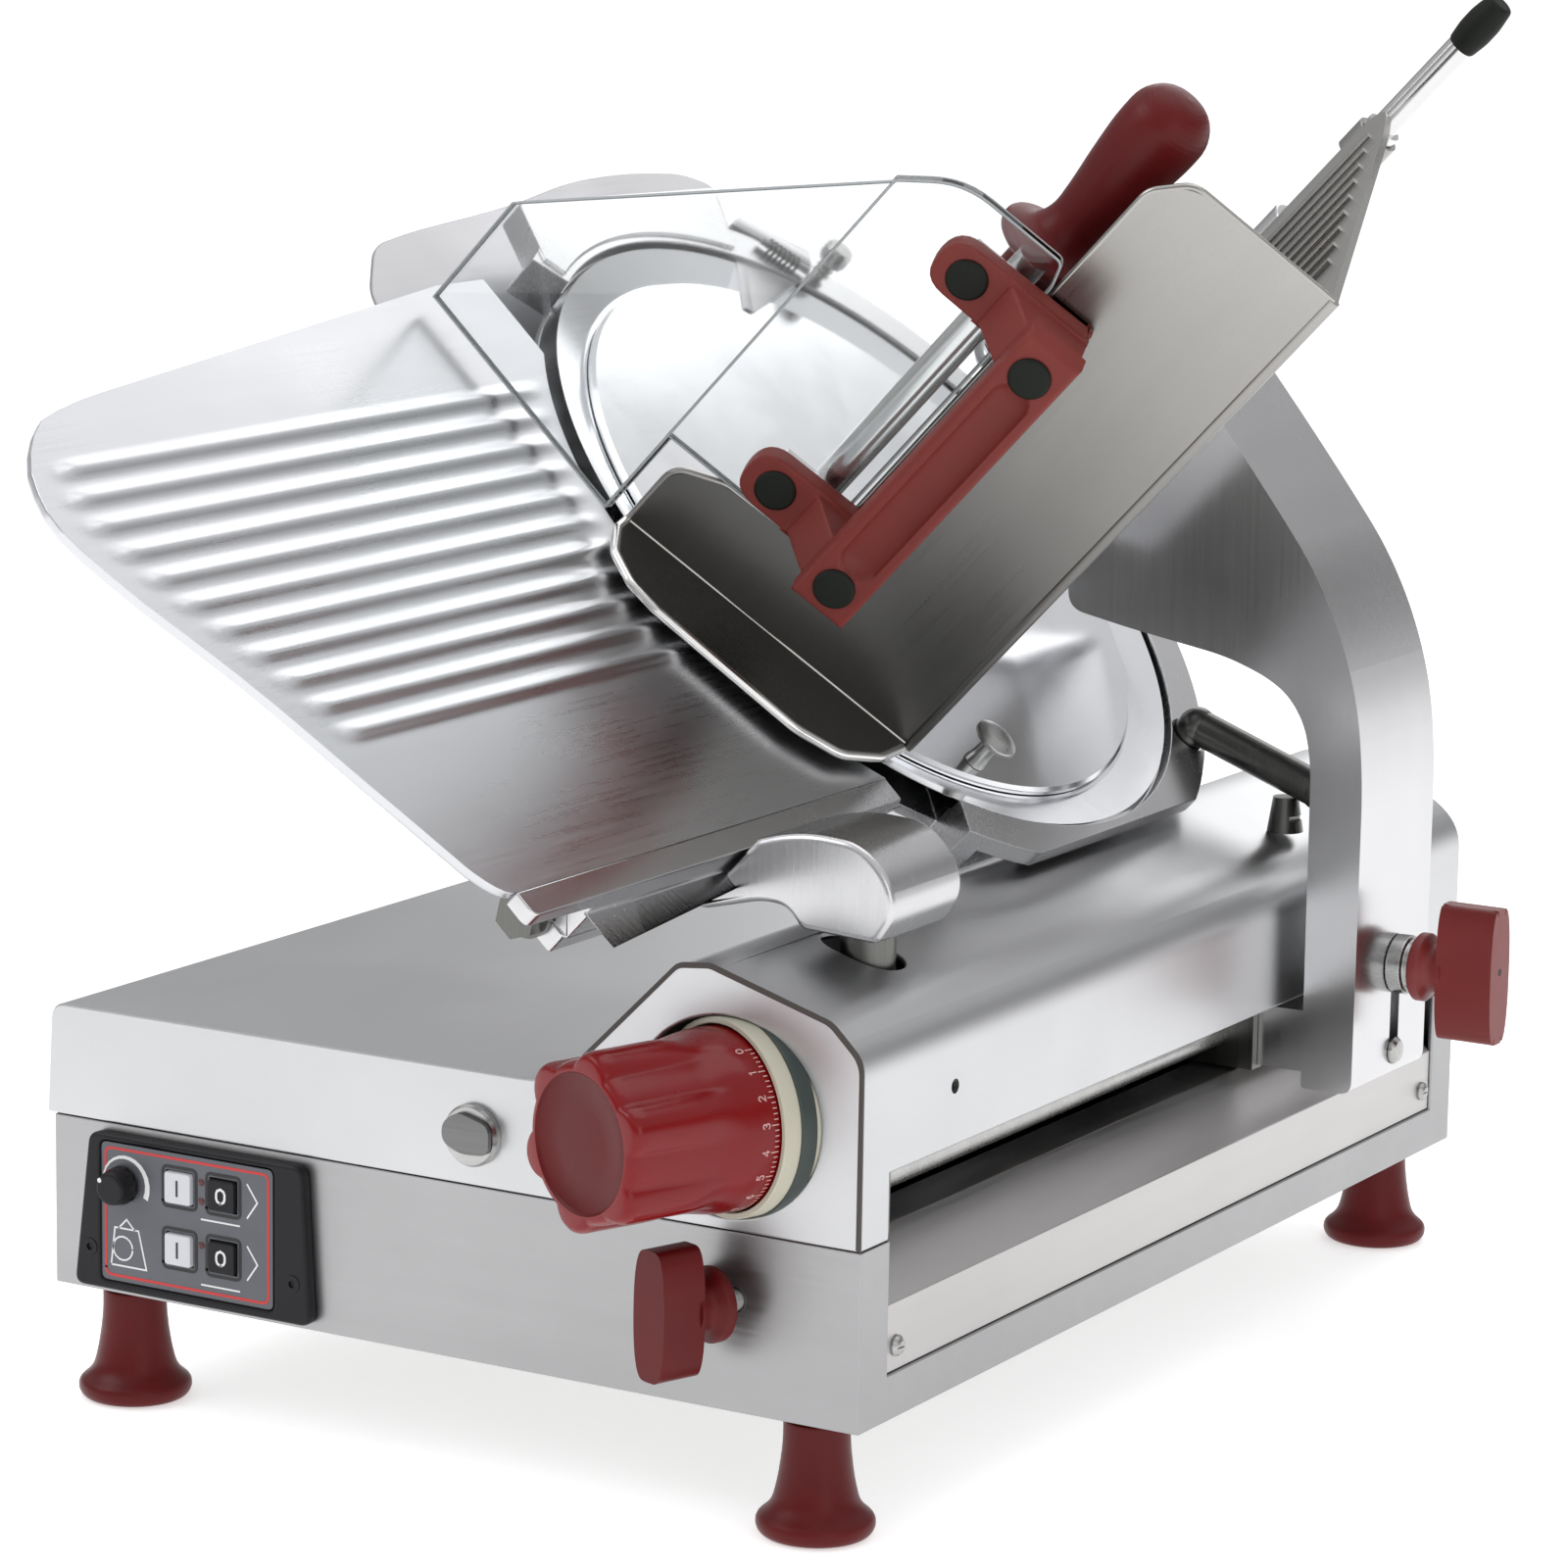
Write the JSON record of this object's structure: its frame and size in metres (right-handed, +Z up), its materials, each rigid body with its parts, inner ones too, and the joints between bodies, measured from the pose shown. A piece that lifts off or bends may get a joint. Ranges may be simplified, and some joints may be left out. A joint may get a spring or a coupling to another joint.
{
  "type": "deli meat slicer",
  "caption": "Gravity-feed meat slicer with tilted round blade, ribbed gauge plate, sliding V-shaped meat tray on a curved arm, clear guard, pusher and push-button panel.",
  "frame": {"origin": "middle of the bounding box on the counter plane under the feet", "axes": "+X to the carriage side (operator's right), +Y away from the operator along the carriage travel, +Z up"},
  "size_m": [0.4806, 0.752, 0.5812],
  "materials": {
    "stainless_satin": "satin brushed stainless sheet",
    "aluminium_cast": "polished and anodised cast aluminium",
    "aluminium_plate": "bright anodised aluminium plate",
    "tray_wall": "warm grey brushed plate",
    "blade_steel": "ground and polished blade steel",
    "chrome": "chrome plated round bar",
    "dark_steel": "dark grey coated steel",
    "machine_steel": "machined steel",
    "red_plastic": "burgundy moulded plastic, satin",
    "red_gloss": "deep red moulded plastic, glossy",
    "brick_red": "brick red moulded plastic, matte",
    "black_plastic": "black moulded plastic",
    "black_rubber": "black rubber",
    "membrane": "printed grey membrane with a red border",
    "white_key": "white key",
    "led_red": "small tinted lamp lens",
    "cream_plastic": "cream ring",
    "clear_sheet": "clear polycarbonate sheet with polished edges"
  },
  "bodies": {
    "base": {"lower_body": "stainless_satin", "bottom_plate": "machine_steel", "top_cover": "aluminium_plate", "side_panel": "stainless_satin", "side_screws": "machine_steel", "feet": "red_plastic", "control_bezel": "black_plastic", "bezel_plugs": "black_plastic", "control_membrane": "membrane", "indicator_leds": "led_red", "oil_port": "machine_steel", "dial_collar": "cream_plastic", "power_gland": "black_plastic", "blade_housing": "aluminium_cast", "deflector": "aluminium_plate", "cover_disc": "blade_steel", "guard_brace": "dark_steel", "brace_pin": "dark_steel", "guide_rod": "machine_steel", "rod_blocks": "dark_steel", "blade_motor": "dark_steel", "drive_belt": "black_rubber", "blade_bearings": "machine_steel", "carriage_motor": "dark_steel", "carriage_belt": "black_rubber"},
    "blade_unit": {"blade": "blade_steel", "blade_hub": "machine_steel"},
    "motor_shaft": {"motor_pulley": "machine_steel"},
    "carriage_pulley": {"carriage_pulley": "machine_steel"},
    "dial": {"thickness_dial": "red_gloss", "dial_spindle": "machine_steel"},
    "lock_knob": {"lock_knob": "red_plastic"},
    "speed_knob": {"speed_knob": "black_plastic"},
    "blade_start": {"blade_start_button": "white_key"},
    "blade_stop": {"blade_stop_button": "black_plastic"},
    "carriage_start": {"carriage_start_button": "white_key"},
    "carriage_stop": {"carriage_stop_button": "black_plastic"},
    "oil_flap": {"oil_flap": "machine_steel"},
    "cover_knob": {"cover_knob": "machine_steel"},
    "lug_pin": {"lug_pin": "machine_steel"},
    "gauge": {"gauge_plate": "aluminium_plate", "gauge_rail": "aluminium_cast", "gauge_bolt": "dark_steel", "gauge_bracket": "aluminium_cast", "gauge_post": "dark_steel"},
    "carriage": {"carriage_arm": "aluminium_cast", "slide_block": "dark_steel", "arm_spacer": "machine_steel", "meat_tray": "tray_wall", "clear_guard": "clear_sheet", "handle_brackets": "brick_red", "handle_bar": "brick_red", "handle_caps": "black_rubber", "handle_tube": "chrome"},
    "arm_knob": {"arm_knob": "red_plastic"},
    "pusher_rod": {"pusher_rod": "chrome", "rod_cap": "black_rubber"},
    "pusher": {"pusher_arm": "aluminium_cast", "pusher_plate": "aluminium_cast", "pusher_handle": "red_plastic"}
  },
  "joints": [
    {"name": "blade_spin", "type": "hinge", "parent": "base", "child": "blade_unit", "pos_m": [-0.05256, 0.112, 0.32075], "axis": [0.6884, 0, 0.7254], "continuous": true},
    {"name": "motor_spin", "type": "hinge", "parent": "base", "child": "motor_shaft", "pos_m": [0.07222, 0.112, 0.17476], "axis": [0.6884, 0, 0.7254], "continuous": true},
    {"name": "carriage_slide", "type": "slide", "parent": "base", "child": "carriage", "axis": [0, 1, 0], "range_m": [-0.3, 0.01]},
    {"name": "carriage_pulley_spin", "type": "hinge", "parent": "base", "child": "carriage_pulley", "pos_m": [0.09068, 0.289, 0.13], "axis": [1, 0, 0], "range_deg": [-60, 1100]},
    {"name": "gauge_slide", "type": "slide", "parent": "base", "child": "gauge", "axis": [0.6884, 0, 0.7254], "range_m": [-0.008, 0.003]},
    {"name": "dial_turn", "type": "hinge", "parent": "base", "child": "dial", "pos_m": [0.09068, -0.182, 0.165], "axis": [-0.342, -0.9397, 0], "range_deg": [-75, 195]},
    {"name": "lock_turn", "type": "hinge", "parent": "base", "child": "lock_knob", "pos_m": [0.08768, -0.1992, 0.093], "axis": [-0.342, -0.9397, 0], "range_deg": [0, 90]},
    {"name": "speed_turn", "type": "hinge", "parent": "base", "child": "speed_knob", "pos_m": [-0.19732, -0.201, 0.097], "axis": [0, -1, 0], "range_deg": [-135, 135]},
    {"name": "oil_flap_turn", "type": "hinge", "parent": "base", "child": "oil_flap", "pos_m": [-0.02032, -0.196, 0.1415], "axis": [0, -1, 0], "range_deg": [0, 90]},
    {"name": "cover_knob_turn", "type": "hinge", "parent": "base", "child": "cover_knob", "pos_m": [0.06274, 0.051, 0.26647], "axis": [0.6884, 0, 0.7254], "range_deg": [0, 90]},
    {"name": "lug_pin_pull", "type": "slide", "parent": "base", "child": "lug_pin", "axis": [0.6884, 0, 0.7254], "range_m": [0, 0.005], "stiffness_N_per_m": 300},
    {"name": "arm_knob_turn", "type": "hinge", "parent": "carriage", "child": "arm_knob", "pos_m": [0.19768, 0.2205, 0.161], "axis": [1, 0, 0], "range_deg": [0, 180]},
    {"name": "pusher_swing", "type": "hinge", "parent": "carriage", "child": "pusher_rod", "pos_m": [0.0513, 0.23431, 0.41518], "axis": [-0.6884, 0, -0.7254], "range_deg": [0, 100]},
    {"name": "pusher_slide", "type": "slide", "parent": "pusher_rod", "child": "pusher", "axis": [0.6884, 0, 0.7254], "range_m": [-0.138, 0.03]},
    {"name": "blade_start_press", "type": "slide", "parent": "base", "child": "blade_start", "axis": [0, 1, 0], "range_m": [0, 0.0015], "stiffness_N_per_m": 500},
    {"name": "blade_stop_press", "type": "slide", "parent": "base", "child": "blade_stop", "axis": [0, 1, 0], "range_m": [0, 0.0015], "stiffness_N_per_m": 500},
    {"name": "carriage_start_press", "type": "slide", "parent": "base", "child": "carriage_start", "axis": [0, 1, 0], "range_m": [0, 0.0015], "stiffness_N_per_m": 500},
    {"name": "carriage_stop_press", "type": "slide", "parent": "base", "child": "carriage_stop", "axis": [0, 1, 0], "range_m": [0, 0.0015], "stiffness_N_per_m": 500}
  ],
  "couplings": [
    {"joint": "motor_spin", "follows": "blade_spin", "ratio": 2.8},
    {"joint": "carriage_pulley_spin", "follows": "carriage_slide", "rad_per_m": -62},
    {"joint": "dial_turn", "follows": "gauge_slide", "rad_per_m": -411}
  ]
}
